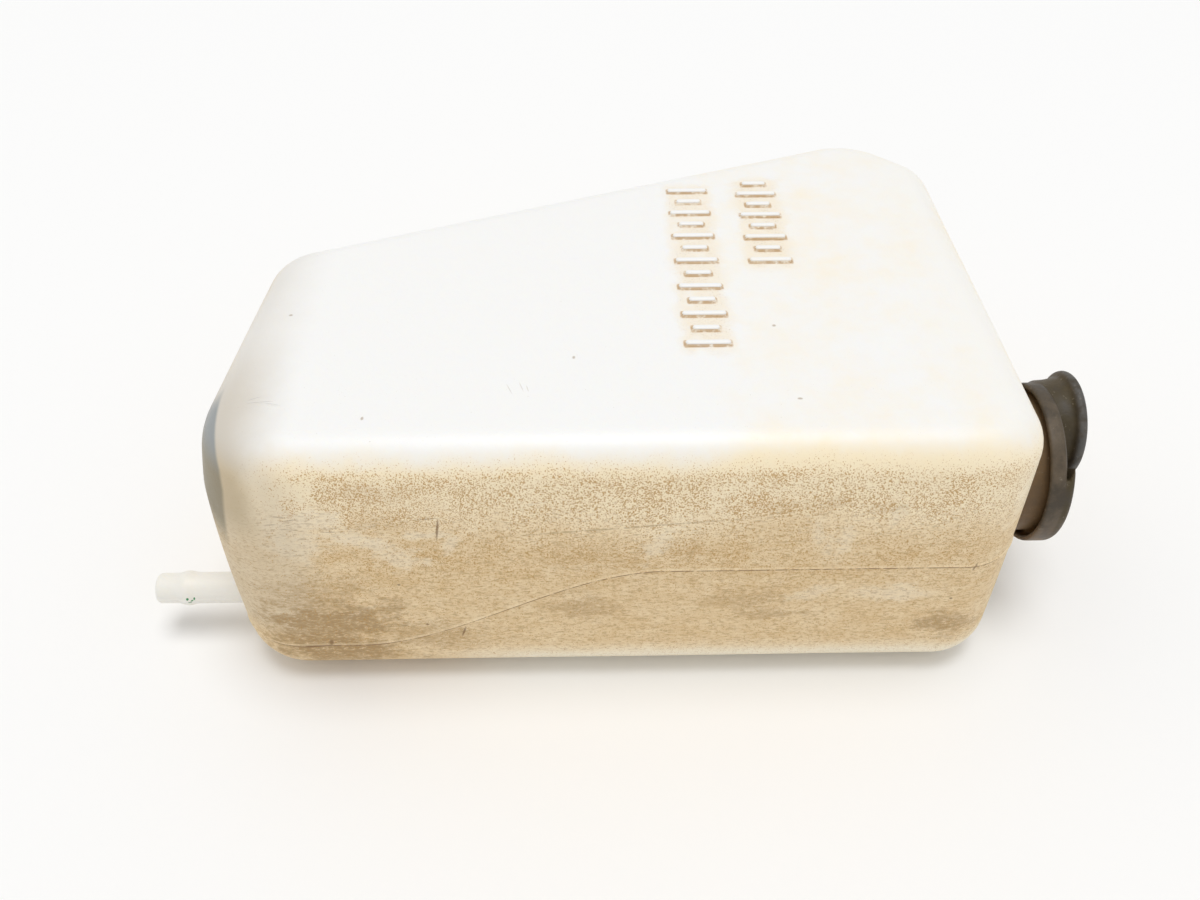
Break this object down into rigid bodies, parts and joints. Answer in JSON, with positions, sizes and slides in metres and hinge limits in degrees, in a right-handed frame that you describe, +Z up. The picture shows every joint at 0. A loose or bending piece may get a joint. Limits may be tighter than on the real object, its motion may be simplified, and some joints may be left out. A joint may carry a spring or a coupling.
{
  "type": "coolant expansion tank",
  "caption": "Blow-moulded coolant expansion tank with a tapered plan and rolled edges, an end filler neck under a push-on rubber cap, and a low hose nipple at the other end.",
  "frame": {"origin": "on the resting face, below the middle of the body: half way between the end walls along the front, and half the body's depth behind its front", "axes": "+X along the body towards the filler neck, +Y from the front wall to the back, +Z up from the resting face"},
  "size_m": [0.1968, 0.1171, 0.0666],
  "materials": {
    "tank_polyethylene": "translucent natural polyethylene, satin, with brown road dirt on the front wall",
    "cap_rubber": "aged black rubber with brown dust"
  },
  "bodies": {
    "tank": {"tank_body": "tank_polyethylene"},
    "cap": {"filler_cap": "cap_rubber"}
  },
  "joints": [
    {"name": "cap_pull", "type": "slide", "parent": "tank", "child": "cap", "axis": [1, 0, 0], "range_m": [0, 0.025]}
  ]
}
